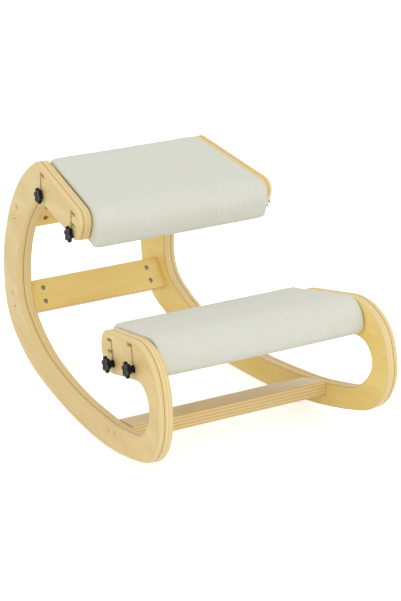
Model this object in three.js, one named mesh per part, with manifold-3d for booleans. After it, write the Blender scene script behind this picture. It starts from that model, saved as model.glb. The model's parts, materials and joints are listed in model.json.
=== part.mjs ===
// A rocking kneeling chair. Two curved plywood side frames, each of two layers, stand closer
// together at the back than at the front. Two rear rails and a foot plank tie them together.
// An upholstered seat and a knee pad hang between the frames on clamping knobs, whose studs run
// in slots with side notches. Millimetres, +X forwards, +Y to the sitter's left, +Z up.
import * as THREE from "three";
import { mergeVertices } from "three/addons/utils/BufferGeometryUtils.js";
import Module from "manifold-3d";

const wasm = await Module();
wasm.setup();

const degree = Math.PI / 180;

// Overall sizes
const frameLength = 758;
const frameHeight = 446;
const rearWidth = 357.3;
const splayAngle = 7.06 * degree;

// Layers of a side frame, from the outside in
const outerLayer = 12;
const innerLayer = 18;
const sideThickness = outerLayer + innerLayer;
const outerEdgeRound = 5;
const innerEdgeRound = 3;

// Clearances and working values
const restingGap = 0.3;
const overrun = 20;
const curveTolerance = 0.4;
const weldDistance = 0.0001;
const outerRoundSteps = 2;
const innerRoundSteps = 1;
const coarsestArcShare = 0.5;

// Side frame outline: along as a share of the frame's length, height and corner radius as
// shares of its height. It starts at the seat arm's tip and runs backwards over the top.
const seatTipShares = [0.4987, 0.9358, 0.058];
const seatRearShares = [0.1992, 1.0078, 0.043];
const kneeFrontShares = [0.8509, 0.6166, 0.226];
const kneeRearShares = [0.6544, 0.5314, 0.05];
const rockerShares = [0.492, -0.0143, 3.2];
const outlineShares = [
  seatTipShares,
  seatRearShares,
  [0.058, 0.861, 0.68],
  [-0.0092, 0.462, 0.464],
  [0.029, 0.1726, 0.3],
  [0.1847, 0.0314, 0.825],
  rockerShares,
  [0.7784, 0.0343, 2.17],
  [0.9745, 0.15, 0.2],
  [1.0066, 0.3274, 0.265],
  [0.961, 0.586, 0.224],
  kneeFrontShares,
  kneeRearShares,
  [0.6464, 0.4608, 0.09],
  [0.6768, 0.3469, 0.108],
  [0.7922, 0.411, 0.336],
  [0.9244, 0.4776, 0.099],
  [0.9393, 0.3374, 0.085],
  [0.9169, 0.2188, 0.186],
  [0.7459, 0.1435, 1.33],
  [0.4921, 0.1045, 2.02],
  [0.2516, 0.1457, 0.715],
  [0.1253, 0.2841, 0.186],
  [0.0999, 0.4543, 0.413],
  [0.1319, 0.6825, 0.55],
  [0.215, 0.8475, 0.157],
  [0.4728, 0.8049, 0.022],
];

// Cross rails: place of the middle of the inner-face end as shares of frame length and height,
// lean of the wide face, and how far the bolt pair sits above the rail's own middle line
const railBoltSpacing = 28;
const upperRailPlan = { alongShare: 0.0826, heightShare: 0.69, lean: 72.5 * degree, boltShift: 0 };
const upperRailSize = { width: 66, thickness: 27 };
const lowerRailPlan = { alongShare: 0.0902, heightShare: 0.267, lean: 124.4 * degree, boltShift: 2 };
const lowerRailSize = { width: 65, thickness: 27 };
const footPlankPlan = { alongShare: 0.7409, heightShare: 0.118, lean: 14 * degree, boltShift: 0 };
const footPlankSize = { width: 67, thickness: 28 };
const railCornerRadius = 2;

// Connector bolts and barrel nuts
const boltRadius = 3;
const boltHeadRadius = 7.5;
const boltHeadThickness = 3;
const boltTipPastNut = 3;
const nutRadius = 5;
const nutDepth = 32;
const lowerNutLength = 18;
const upperNutLength = 12;
const footNutLength = 18;
const nutHoleFloor = 1.8;
const roundSteps = 10;

// Clamping knobs, studs and washers
const studRadius = 3;
const studInBoard = 15;
const knobRadius = 16;
const knobLobes = 6;
const knobLobeDepth = 4.5;
const knobThickness = 7;
const knobEdgeRound = 1.5;
const knobBossRadius = 6.5;
const seatBossLength = 0.4;
const kneeBossLength = 9;
const washerRadius = 8;
const washerThickness = 1;
const lobeSteps = 4;

// Slots in the side frames
const seatSlotTravel = 44;
const seatSlotLean = 8 * degree;
const seatStudShares = { rear: 0.19, front: 0.859 };
const seatStudDepths = { rear: 53.4, front: 54.4 };
const kneeSlotTravel = 43;
const kneeSlotLean = 21 * degree;
const kneeStudShares = { rear: 0.285, front: 0.881 };
const kneeStudDepths = { rear: 58.6, front: 53.4 };
const notchLength = 16;
const notchStepShares = { middle: 0.5, top: 1 };

// Seat pad, measured along the seat arm's top edge and square to it
const seatPadRear = 0;
const seatPadFrontPastTip = 16;
const seatPadAbove = 11;
const seatPadDepth = 76.5;
const seatCrown = 6;
const seatRadii = { bottomRear: 5, bottomFront: 12, topFront: 36, topRear: 18 };
const seatEndGap = 1.6;

// Knee pad, measured the same way along the knee arm's top edge
const kneePadRear = 27;
const kneePadFrontPastCorner = 31;
const kneePadAbove = 8;
const kneePadDepth = 76;
const kneeCrown = 1;
const kneeRadii = { bottomRear: 6, bottomFront: 18, topFront: 44, topRear: 22 };
const kneeEndGap = 2.6;

// Upholstery and the boards inside it
const endBoardThickness = 18;
const endBoardHeight = 42;
const baseBoardThickness = 9;
const boardSetIn = 2;
const rearLip = 12;
const frontLip = 24;
const boardCornerRadius = 3;
const cushionEndRound = 5;
const cushionBulge = 3;
const cushionEndSteps = 2;
const cushionSections = 9;
const cushionStep = 24;

// Materials; a finish that names no metalness has none
const coated = (finish) => new THREE.MeshStandardMaterial({ metalness: 0, ...finish });
const birchFace = () => coated({ color: 0xdec48c, roughness: 0.55 });
const birchRail = () => coated({ color: 0xd8bb7e, roughness: 0.6 });
const boardWood = () => coated({ color: 0xcbb080, roughness: 0.75 });
const linen = () => coated({ color: 0xdcddd2, roughness: 0.95 });
const blackPlastic = () => coated({ color: 0x141517, roughness: 0.45 });
const zincSteel = () => coated({ color: 0xb9bcc0, roughness: 0.35, metalness: 1 });
const blackSteel = () => coated({ color: 0x1c1d20, roughness: 0.4, metalness: 1 });

// A closed geometry as a solid, and a solid back as a geometry
function solid(geometry) {
  const bare = geometry.clone();
  bare.deleteAttribute("normal");
  bare.deleteAttribute("uv");
  const merged = mergeVertices(bare, weldDistance);
  const vertProperties = new Float32Array(merged.attributes.position.array);
  const triVerts = new Uint32Array(merged.index.array);
  return new wasm.Manifold(new wasm.Mesh({ numProp: 3, vertProperties, triVerts }));
}

function surface(body) {
  const mesh = body.getMesh();
  const geometry = new THREE.BufferGeometry();
  geometry.setAttribute("position", new THREE.BufferAttribute(mesh.vertProperties, 3));
  geometry.setIndex(new THREE.BufferAttribute(mesh.triVerts, 1));
  const faceted = geometry.toNonIndexed();
  faceted.computeVertexNormals();
  return faceted;
}

function cut(geometry, cutters) {
  let body = solid(geometry);
  for (const cutter of cutters) {
    body = body.subtract(solid(cutter));
  }
  return surface(body);
}

function join(first, second) {
  return surface(solid(first).add(solid(second)));
}

// The same geometry mirrored across y, with its faces still pointing out
function mirrored(geometry) {
  const other = geometry.index ? geometry.toNonIndexed() : geometry.clone();
  other.scale(1, -1, 1);
  const places = other.attributes.position;
  const a = new THREE.Vector3();
  const b = new THREE.Vector3();
  for (let i = 0; i < places.count; i += 3) {
    a.fromBufferAttribute(places, i);
    b.fromBufferAttribute(places, i + 1);
    places.setXYZ(i, b.x, b.y, b.z);
    places.setXYZ(i + 1, a.x, a.y, a.z);
  }
  other.computeVertexNormals();
  return other;
}

// A closed outline whose corners are rounded by arcs; an arc is cut short where an edge has no
// room for it, and has an odd number of chords, so that its middle chord is tangent to it
function roundedOutline(corners) {
  const count = corners.length;
  const edge = (i) => corners[(i + 1) % count].at.clone().sub(corners[i].at);
  const turn = (i) => {
    const before = edge((i + count - 1) % count);
    return Math.atan2(before.cross(edge(i)), before.dot(edge(i)));
  };
  const turns = corners.map((corner, i) => turn(i));
  const wanted = corners.map((corner, i) => corner.radius * Math.tan(Math.abs(turns[i]) / 2));
  const room = wanted.map((length, i) => {
    return Math.min(1, edge(i).length() / (length + wanted[(i + 1) % count]));
  });
  const points = [];
  corners.forEach((corner, i) => {
    const fit = Math.min(room[i], room[(i + count - 1) % count]);
    const radius = corner.radius * fit;
    const setBack = wanted[i] * fit;
    const before = edge((i + count - 1) % count).normalize();
    const side = Math.sign(turns[i]);
    const start = corner.at.clone().addScaledVector(before, -setBack);
    const normal = new THREE.Vector2(-before.y, before.x).multiplyScalar(side);
    const centre = start.clone().addScaledVector(normal, radius);
    const step = 2 * Math.acos(1 - Math.min(curveTolerance / radius, coarsestArcShare));
    const chords = 2 * Math.ceil((Math.abs(turns[i]) / step - 1) / 2) + 1;
    for (let k = 0; k <= chords; k += 1) {
      const angle = (turns[i] * k) / chords;
      points.push(start.clone().rotateAround(centre, angle));
    }
  });
  const shortest = weldDistance * frameLength;
  return points.filter((p, i) => p.distanceTo(points[(i + 1) % points.length]) > shortest);
}

function rounded(points, radius) {
  return roundedOutline(points.map((at) => ({ at, radius })));
}

// A slot's outline: two half circles joined by straight sides
function slotOutline(from, to, radius) {
  const ahead = to.clone().sub(from).normalize();
  const points = [];
  const steps = roundSteps / 2;
  for (let k = 0; k <= steps; k += 1) {
    const angle = -Math.PI / 2 + (Math.PI * k) / steps;
    const spoke = ahead.clone().rotateAround(new THREE.Vector2(), angle);
    points.push(to.clone().addScaledVector(spoke, radius));
  }
  for (let k = 0; k <= steps; k += 1) {
    const angle = Math.PI / 2 + (Math.PI * k) / steps;
    const spoke = ahead.clone().rotateAround(new THREE.Vector2(), angle);
    points.push(from.clone().addScaledVector(spoke, radius));
  }
  return points;
}

// The side frame's outline and its landmarks, drawn along the frame and upwards
const framePoint = (shares) => new THREE.Vector2(shares[0] * frameLength, shares[1] * frameHeight);
const frameOutline = roundedOutline(
  outlineShares.map((shares) => ({ at: framePoint(shares), radius: shares[2] * frameHeight })),
);

// An arm's top edge: its rear corner, the direction forwards and the direction down into the arm
function armLine(rearShares, frontShares) {
  const rear = framePoint(rearShares);
  const front = framePoint(frontShares);
  const ahead = front.clone().sub(rear).normalize();
  const down = new THREE.Vector2(ahead.y, -ahead.x);
  const length = rear.distanceTo(front);
  const at = (along, depth) => rear.clone().addScaledVector(ahead, along).addScaledVector(down, depth);
  return { rear, ahead, down, length, at };
}

const seatArm = armLine(seatRearShares, seatTipShares);
const kneeArm = armLine(kneeRearShares, kneeFrontShares);

// The two pads' clamps: where the studs rest, and the way they slide up in the frame's plane
function clampPlan(arm, shares, depths, travel, lean, notchTurn, notches) {
  const slide = new THREE.Vector2(-Math.sin(lean) * Math.cos(splayAngle), Math.cos(lean));
  slide.multiplyScalar(travel);
  return ["rear", "front"].map((end) => ({
    end,
    rest: arm.at(shares[end] * arm.length, depths[end]),
    slide,
    notchWay: arm.ahead.clone().multiplyScalar(notchTurn),
    notches: notches[end],
  }));
}

const seatClamps = clampPlan(seatArm, seatStudShares, seatStudDepths, seatSlotTravel, seatSlotLean, 1, {
  rear: ["top"],
  front: ["middle", "top"],
});
const kneeClamps = clampPlan(kneeArm, kneeStudShares, kneeStudDepths, kneeSlotTravel, kneeSlotLean, -1, {
  rear: ["middle", "top"],
  front: ["top"],
});

// An outline drawn in the frame's plane, stood up and reaching from one depth inwards to another;
// depths count inwards from the frame's outer face, as on the right-hand side
function standing(outline, fromDepth, toDepth) {
  const shape = new THREE.Shape(outline);
  const geometry = new THREE.ExtrudeGeometry(shape, { depth: toDepth - fromDepth, bevelEnabled: false });
  geometry.rotateX(Math.PI / 2);
  geometry.translate(0, toDepth, 0);
  return geometry;
}

// A layer of the side frame with one rounded edge, the one that faces outwards
function roundedLayer(thickness, edgeRound, roundSegments) {
  const shape = new THREE.Shape(frameOutline);
  const geometry = new THREE.ExtrudeGeometry(shape, {
    depth: thickness,
    bevelEnabled: true,
    bevelThickness: edgeRound,
    bevelSize: edgeRound,
    bevelOffset: -edgeRound,
    bevelSegments: roundSegments,
  });
  geometry.translate(0, 0, -edgeRound);
  const waste = new THREE.BoxGeometry(2 * frameLength, 2 * frameHeight, overrun);
  waste.translate(frameLength / 2, frameHeight / 2, -overrun / 2);
  const layer = cut(geometry, [waste]);
  layer.rotateX(Math.PI / 2);
  return layer;
}

// Holes and slots through the side frame, drawn in its plane
function slotCutters(clamps) {
  const radius = studRadius + restingGap;
  const cutters = [];
  for (const clamp of clamps) {
    const top = clamp.rest.clone().add(clamp.slide);
    cutters.push(standing(slotOutline(clamp.rest, top, radius), -overrun, sideThickness + overrun));
    for (const level of clamp.notches) {
      const start = clamp.rest.clone().addScaledVector(clamp.slide, notchStepShares[level]);
      const end = start.clone().addScaledVector(clamp.notchWay, notchLength);
      cutters.push(standing(slotOutline(start, end, radius), -overrun, sideThickness + overrun));
    }
  }
  return cutters;
}

// A round bar along y between two depths, centred on a point of the frame's plane
function barAlongDepth(at, radius, fromDepth, toDepth) {
  const bar = new THREE.CylinderGeometry(radius, radius, toDepth - fromDepth, roundSteps);
  bar.translate(at.x, (fromDepth + toDepth) / 2, at.y);
  return bar;
}

// Half the clear width between the side frames' inner faces, at a distance from the back
function halfClearWidth(x) {
  return rearWidth / 2 + x * Math.tan(splayAngle) - sideThickness / Math.cos(splayAngle);
}

// The place of a point of the frame's plane on the inner faces, seen from the side
function onInnerFace(point) {
  const x = point.x * Math.cos(splayAngle) + sideThickness * Math.sin(splayAngle);
  return new THREE.Vector3(x, 0, point.y);
}

// The chair and the groups that place its pieces
const chair = new THREE.Group();
const standingGroup = new THREE.Group();
chair.add(standingGroup);

function sideGroup(sign) {
  const group = new THREE.Group();
  group.position.set(0, (sign * rearWidth) / 2, 0);
  group.rotation.z = sign * splayAngle;
  group.userData.sign = sign;
  standingGroup.add(group);
  group.updateMatrixWorld(true);
  return group;
}

const sides = { right: sideGroup(-1), left: sideGroup(1) };

// A geometry drawn for the right-hand side, turned over for the left-hand one
const handed = (geometry, side) => (side.userData.sign < 0 ? geometry : mirrored(geometry));

function piece(parent, name, geometry, material, at = new THREE.Vector3()) {
  geometry.translate(-at.x, -at.y, -at.z);
  const mesh = new THREE.Mesh(geometry, material);
  mesh.name = name;
  mesh.position.copy(at);
  parent.add(mesh);
  return mesh;
}

// An outline in a group's x and z, carried across the chair between the splayed side frames
function spanning(outline, group, endGap) {
  const shape = new THREE.Shape(outline);
  const geometry = new THREE.ExtrudeGeometry(shape, { depth: 1, bevelEnabled: false });
  geometry.translate(0, 0, -1 / 2);
  geometry.rotateX(Math.PI / 2);
  const places = geometry.attributes.position;
  const spot = new THREE.Vector3();
  for (let i = 0; i < places.count; i += 1) {
    spot.fromBufferAttribute(places, i);
    const x = group.localToWorld(spot.clone()).x;
    const half = halfClearWidth(x) - endGap / Math.cos(splayAngle);
    places.setY(i, 2 * spot.y * half);
  }
  return geometry;
}

// Cross rails with their connector bolts and barrel nuts
function railGroup(rail) {
  const group = new THREE.Group();
  const middle = new THREE.Vector2(rail.alongShare * frameLength, rail.heightShare * frameHeight);
  group.position.copy(onInnerFace(middle));
  group.rotation.y = -rail.lean;
  standingGroup.add(group);
  group.updateMatrixWorld(true);
  const widthWay = new THREE.Vector2(Math.cos(rail.lean), Math.sin(rail.lean));
  const boltSpots = [1, -1].map((way) => {
    const along = rail.boltShift + (way * railBoltSpacing) / 2;
    const spot = middle.clone().addScaledVector(widthWay, along);
    return new THREE.Vector2(middle.x + (spot.x - middle.x) / Math.cos(splayAngle), spot.y);
  });
  return { group, boltSpots };
}

const rails = {
  upper_rear_rail: { ...railGroup(upperRailPlan), size: upperRailSize, nutLength: upperNutLength },
  lower_rear_rail: { ...railGroup(lowerRailPlan), size: lowerRailSize, nutLength: lowerNutLength },
  foot_plank: { ...railGroup(footPlankPlan), size: footPlankSize, nutLength: footNutLength },
};

const nutPlace = (side, spot) => {
  const inwards = -side.userData.sign * (sideThickness + nutDepth);
  return side.localToWorld(new THREE.Vector3(spot.x, inwards, spot.y));
};

// The connector bolt: a flat head let into the outer layer, and a shank to just past the nut
function connectorBolt() {
  const headBack = restingGap + boltHeadThickness;
  const tip = sideThickness + nutDepth + nutRadius + boltTipPastNut;
  const profile = [
    new THREE.Vector2(0, restingGap),
    new THREE.Vector2(boltHeadRadius, restingGap),
    new THREE.Vector2(boltHeadRadius, headBack),
    new THREE.Vector2(boltRadius, headBack),
    new THREE.Vector2(boltRadius, tip),
    new THREE.Vector2(0, tip),
  ];
  return new THREE.LatheGeometry(profile, roundSteps);
}

function buildRail(name, rail) {
  const half = { x: rail.size.width / 2, z: rail.size.thickness / 2 };
  const corners = [
    new THREE.Vector2(-half.x, -half.z),
    new THREE.Vector2(half.x, -half.z),
    new THREE.Vector2(half.x, half.z),
    new THREE.Vector2(-half.x, half.z),
  ];
  const outline = rounded(corners, railCornerRadius);
  const cutters = [];
  for (const [sideName, side] of Object.entries(sides)) {
    rail.boltSpots.forEach((spot, i) => {
      const label = `${name}_${sideName}_${i + 1}`;
      const tip = sideThickness + nutDepth + nutRadius + boltTipPastNut + restingGap;
      const hole = barAlongDepth(spot, boltRadius + restingGap, sideThickness - overrun, tip);
      const drill = handed(hole, side);
      drill.applyMatrix4(side.matrixWorld);
      drill.applyMatrix4(rail.group.matrixWorld.clone().invert());
      const centre = rail.group.worldToLocal(nutPlace(side, spot));
      const reach = rail.size.thickness - nutHoleFloor + overrun;
      const boreRadius = nutRadius + restingGap;
      const bore = new THREE.CylinderGeometry(boreRadius, boreRadius, reach, roundSteps);
      bore.rotateX(Math.PI / 2);
      bore.translate(centre.x, centre.y, reach / 2 - half.z - overrun);
      cutters.push(drill, bore);
      const nut = new THREE.CylinderGeometry(nutRadius, nutRadius, rail.nutLength, roundSteps);
      nut.rotateX(Math.PI / 2);
      nut.translate(centre.x, centre.y, centre.z);
      piece(rail.group, `${label}_nut`, cut(nut, [drill]), zincSteel(), centre);
      const bolt = connectorBolt();
      bolt.translate(spot.x, 0, spot.y);
      piece(side, `${label}_bolt`, handed(bolt, side), zincSteel(), new THREE.Vector3(spot.x, 0, spot.y));
    });
  }
  piece(rail.group, name, cut(spanning(outline, rail.group, restingGap), cutters), birchRail());
}

// Side frames: the two layers, cut by the slots, the bolt holes and the recesses for bolt heads
function buildSide(sideName, side) {
  const outer = roundedLayer(outerLayer - restingGap / 2, outerEdgeRound, outerRoundSteps);
  outer.translate(0, outerLayer - restingGap / 2, 0);
  const inner = mirrored(roundedLayer(innerLayer - restingGap / 2, innerEdgeRound, innerRoundSteps));
  inner.translate(0, outerLayer + restingGap / 2, 0);
  const through = [...slotCutters(seatClamps), ...slotCutters(kneeClamps)];
  const recesses = [];
  for (const rail of Object.values(rails)) {
    for (const spot of rail.boltSpots) {
      through.push(barAlongDepth(spot, boltRadius + restingGap, -overrun, sideThickness + overrun));
      const depth = boltHeadThickness + 2 * restingGap;
      recesses.push(barAlongDepth(spot, boltHeadRadius + restingGap, -overrun, depth));
    }
  }
  piece(side, `${sideName}_outer_layer`, handed(cut(outer, [...through, ...recesses]), side), birchFace());
  piece(side, `${sideName}_inner_layer`, handed(cut(inner, through), side), birchFace());
}

// The star knob: a lobed head with softened rims, a boss and a threaded stud, pointing along +y
function starOutline() {
  const points = [];
  const count = knobLobes * lobeSteps;
  for (let k = 0; k < count; k += 1) {
    const angle = (2 * Math.PI * k) / count;
    const radius = knobRadius - (knobLobeDepth * (1 - Math.cos(knobLobes * angle))) / 2;
    points.push(new THREE.Vector2(radius * Math.cos(angle), radius * Math.sin(angle)));
  }
  return points;
}

function starKnob(bossLength, endGap) {
  const bossEnd = washerThickness + 2 * restingGap;
  const headStart = bossEnd + bossLength;
  const studEnd = -(sideThickness + endGap + studInBoard);
  const head = new THREE.ExtrudeGeometry(new THREE.Shape(starOutline()), {
    depth: knobThickness - 2 * knobEdgeRound,
    bevelEnabled: true,
    bevelThickness: knobEdgeRound,
    bevelSize: knobEdgeRound,
    bevelOffset: -knobEdgeRound,
    bevelSegments: 1,
  });
  head.rotateX(Math.PI / 2);
  head.translate(0, headStart + knobThickness - knobEdgeRound, 0);
  const profile = [
    new THREE.Vector2(0, headStart + knobThickness / 2),
    new THREE.Vector2(knobBossRadius, headStart + knobThickness / 2),
    new THREE.Vector2(knobBossRadius, bossEnd),
    new THREE.Vector2(studRadius, bossEnd),
    new THREE.Vector2(studRadius, studEnd),
    new THREE.Vector2(0, studEnd),
  ].reverse();
  return join(head, new THREE.LatheGeometry(profile, roundSteps));
}

function washer() {
  const bore = studRadius + restingGap;
  const profile = [
    new THREE.Vector2(bore, restingGap),
    new THREE.Vector2(washerRadius, restingGap),
    new THREE.Vector2(washerRadius, restingGap + washerThickness),
    new THREE.Vector2(bore, restingGap + washerThickness),
    new THREE.Vector2(bore, restingGap),
  ];
  return new THREE.LatheGeometry(profile, roundSteps);
}

function buildClamps(padName, clamps, bossLength, endGap) {
  for (const [sideName, side] of Object.entries(sides)) {
    for (const clamp of clamps) {
      const seatOn = new THREE.Vector3(clamp.rest.x, 0, clamp.rest.y);
      const holder = new THREE.Group();
      holder.position.copy(seatOn);
      holder.rotation.x = side.userData.sign < 0 ? Math.PI : 0;
      side.add(holder);
      const label = `${padName}_${sideName}_${clamp.end}`;
      piece(holder, `${label}_knob`, starKnob(bossLength, endGap), blackPlastic());
      piece(holder, `${label}_washer`, washer(), blackSteel());
    }
  }
}

// Pads: a crowned cushion pulled over the front and back, a base board let in from below, and
// an end board at each side frame that takes the studs
function insetOutline(outline, distance, middle, half) {
  const shrink = new THREE.Vector2(1 - distance / half.x, 1 - distance / half.y);
  return outline.map((point) => point.clone().sub(middle).multiply(shrink).add(middle));
}

function withShortSteps(outline, longest) {
  const points = [];
  outline.forEach((point, i) => {
    const next = outline[(i + 1) % outline.length];
    const parts = Math.ceil(point.distanceTo(next) / longest);
    for (let k = 0; k < parts; k += 1) {
      points.push(point.clone().lerp(next, k / parts));
    }
  });
  return points;
}

function padSections() {
  const sections = [];
  const rim = [];
  for (let k = 0; k <= cushionEndSteps; k += 1) {
    const angle = (Math.PI / 2) * (k / cushionEndSteps);
    const inset = cushionEndRound * (1 - Math.sin(angle));
    rim.push({ inset, fromEnd: cushionEndRound * (1 - Math.cos(angle)) });
  }
  sections.push(...rim.map((end) => ({ ...end, share: 1 })));
  for (let k = 1; k < cushionSections; k += 1) {
    sections.push({ inset: 0, fromEnd: cushionEndRound, share: Math.cos((Math.PI * k) / cushionSections) });
  }
  sections.push(...rim.reverse().map((end) => ({ ...end, share: -1 })));
  return sections;
}

// The cushion: section after section across the chair, crowned on top, with its front and back
// walls fuller in the middle
function cushionBody(pad, group) {
  const corners = [
    { at: new THREE.Vector2(pad.rear, pad.bottom), radius: pad.radii.bottomRear },
    { at: new THREE.Vector2(pad.front, pad.bottom), radius: pad.radii.bottomFront },
    { at: new THREE.Vector2(pad.front, pad.top), radius: pad.radii.topFront },
    { at: new THREE.Vector2(pad.rear, pad.top), radius: pad.radii.topRear },
  ];
  const outline = withShortSteps(roundedOutline(corners), cushionStep);
  const middle = new THREE.Vector2((pad.rear + pad.front) / 2, (pad.bottom + pad.top) / 2);
  const reach = new THREE.Vector2((pad.front - pad.rear) / 2, (pad.top - pad.bottom) / 2);
  const positions = [];
  const sections = padSections();
  for (const section of sections) {
    const loop = insetOutline(outline, section.inset, middle, reach);
    for (const point of loop) {
      const x = group.localToWorld(new THREE.Vector3(point.x, 0, point.y)).x;
      const half = halfClearWidth(x) - pad.endGap / Math.cos(splayAngle) - section.fromEnd;
      const fullHalf = half + section.fromEnd;
      const y = section.share * half;
      const across = 1 - (y / fullHalf) ** 2;
      const along = (point.x - middle.x) / reach.x;
      const height = (point.y - pad.bottom) / (pad.top - pad.bottom);
      const lift = pad.crown * across * Math.max(0, 1 - along ** 4) * height ** 2;
      const wall = Math.sin(Math.PI * Math.min(1, Math.max(0, height)));
      const swell = cushionBulge * across * along ** 3 * wall;
      positions.push(point.x + swell, y, point.y + lift);
    }
  }
  const count = outline.length;
  const faces = [];
  for (let s = 0; s + 1 < sections.length; s += 1) {
    for (let k = 0; k < count; k += 1) {
      const a = s * count + k;
      const b = s * count + ((k + 1) % count);
      faces.push(a, b, b + count);
      faces.push(a, b + count, a + count);
    }
  }
  const last = (sections.length - 1) * count;
  const hubs = [0, last].map((start) => {
    positions.push(middle.x, positions[3 * start + 1], middle.y);
    return positions.length / 3 - 1;
  });
  for (let k = 0; k < count; k += 1) {
    const next = (k + 1) % count;
    faces.push(hubs[0], next, k);
    faces.push(hubs[1], last + k, last + next);
  }
  const geometry = new THREE.BufferGeometry();
  geometry.setAttribute("position", new THREE.Float32BufferAttribute(positions, 3));
  geometry.setIndex(faces);
  return geometry;
}

function rectangle(rear, front, bottom, top) {
  return [
    new THREE.Vector2(rear, bottom),
    new THREE.Vector2(front, bottom),
    new THREE.Vector2(front, top),
    new THREE.Vector2(rear, top),
  ];
}

function buildPad(name, arm, clamps, pad) {
  const group = new THREE.Group();
  group.position.copy(onInnerFace(arm.rear));
  group.rotation.y = -Math.atan2(arm.ahead.y, arm.ahead.x * Math.cos(splayAngle));
  standingGroup.add(group);
  group.updateMatrixWorld(true);
  const boardRear = pad.rear + rearLip;
  const boardFront = pad.front - frontLip;
  const boardBottom = pad.bottom + boardSetIn;
  const endTop = boardBottom + endBoardHeight;
  const baseTop = boardBottom + baseBoardThickness;
  const armPoint = (point) => arm.at(point.x, -point.y);

  // End boards, parallel to the side frames and drilled for the studs
  const endOutline = rounded(rectangle(boardRear, boardFront, boardBottom, endTop), boardCornerRadius);
  const endFrom = sideThickness + pad.endGap;
  const endTo = endFrom + endBoardThickness;
  const pocketOutline = rectangle(
    boardRear - restingGap,
    boardFront + restingGap,
    pad.bottom - overrun,
    endTop + restingGap,
  );
  const pockets = [];
  for (const [sideName, side] of Object.entries(sides)) {
    const drills = clamps.map((clamp) => {
      return barAlongDepth(clamp.rest, studRadius + restingGap, endFrom - overrun, endTo + overrun);
    });
    const board = cut(standing(endOutline.map(armPoint), endFrom, endTo), drills);
    const middle = arm.at((boardRear + boardFront) / 2, -(boardBottom + endTop) / 2);
    const centre = new THREE.Vector3(middle.x, -side.userData.sign * ((endFrom + endTo) / 2), middle.y);
    piece(side, `${name}_end_board_${sideName}`, handed(board, side), boardWood(), centre);
    const hollow = standing(pocketOutline.map(armPoint), endFrom - overrun, endTo + restingGap);
    const pocket = handed(hollow, side);
    pocket.applyMatrix4(side.matrixWorld);
    pocket.applyMatrix4(group.matrixWorld.clone().invert());
    pockets.push(pocket);
  }

  // Base board between the end boards, and the pocket that it lies in
  const baseOutline = rounded(rectangle(boardRear, boardFront, boardBottom, baseTop), boardCornerRadius);
  const baseGap = pad.endGap + endBoardThickness + restingGap;
  piece(group, `${name}_base_board`, spanning(baseOutline, group, baseGap), boardWood());
  const bedOutline = rectangle(
    boardRear - restingGap,
    boardFront + restingGap,
    pad.bottom - overrun,
    baseTop + restingGap,
  );
  pockets.push(spanning(bedOutline, group, 0));
  piece(group, `${name}_cushion`, cut(cushionBody(pad, group), pockets), linen());
}

const seatPad = {
  rear: -seatPadRear,
  front: seatArm.length + seatPadFrontPastTip,
  bottom: seatPadAbove - seatPadDepth,
  top: seatPadAbove,
  crown: seatCrown,
  radii: seatRadii,
  endGap: seatEndGap,
};
const kneePad = {
  rear: -kneePadRear,
  front: kneeArm.length + kneePadFrontPastCorner,
  bottom: kneePadAbove - kneePadDepth,
  top: kneePadAbove,
  crown: kneeCrown,
  radii: kneeRadii,
  endGap: kneeEndGap,
};

// Assembly
for (const [sideName, side] of Object.entries(sides)) {
  buildSide(sideName, side);
}
for (const [name, rail] of Object.entries(rails)) {
  buildRail(name, rail);
}
buildPad("seat", seatArm, seatClamps, seatPad);
buildPad("knee", kneeArm, kneeClamps, kneePad);
buildClamps("seat", seatClamps, seatBossLength, seatEndGap);
buildClamps("knee", kneeClamps, kneeBossLength, kneeEndGap);

// The chair stands on the middle chord of its rocker: that chord is made level, and the origin
// goes to the middle of the chair's footprint on the floor
const rockerIndex = outlineShares.indexOf(rockerShares);
const rockerRise = framePoint(outlineShares[rockerIndex + 1]).sub(framePoint(rockerShares)).angle();
const rockerFall = framePoint(rockerShares).sub(framePoint(outlineShares[rockerIndex - 1])).angle();
const rockerTilt = (rockerRise + rockerFall - 2 * Math.PI) / 2;
standingGroup.rotation.y = Math.atan(Math.tan(rockerTilt) / Math.cos(splayAngle));
chair.updateMatrixWorld(true);
const bounds = new THREE.Box3().setFromObject(chair, true);
standingGroup.position.x = -(bounds.min.x + bounds.max.x) / 2;
standingGroup.position.z = -bounds.min.z;

export default chair;
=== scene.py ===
"""Visual model of a rocking kneeling chair, laid out as a Blender add-on and run as a script."""

import json
import math

import bmesh
import bpy
from mathutils import Matrix, Vector, noise
from mathutils.bvhtree import BVHTree

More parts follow.
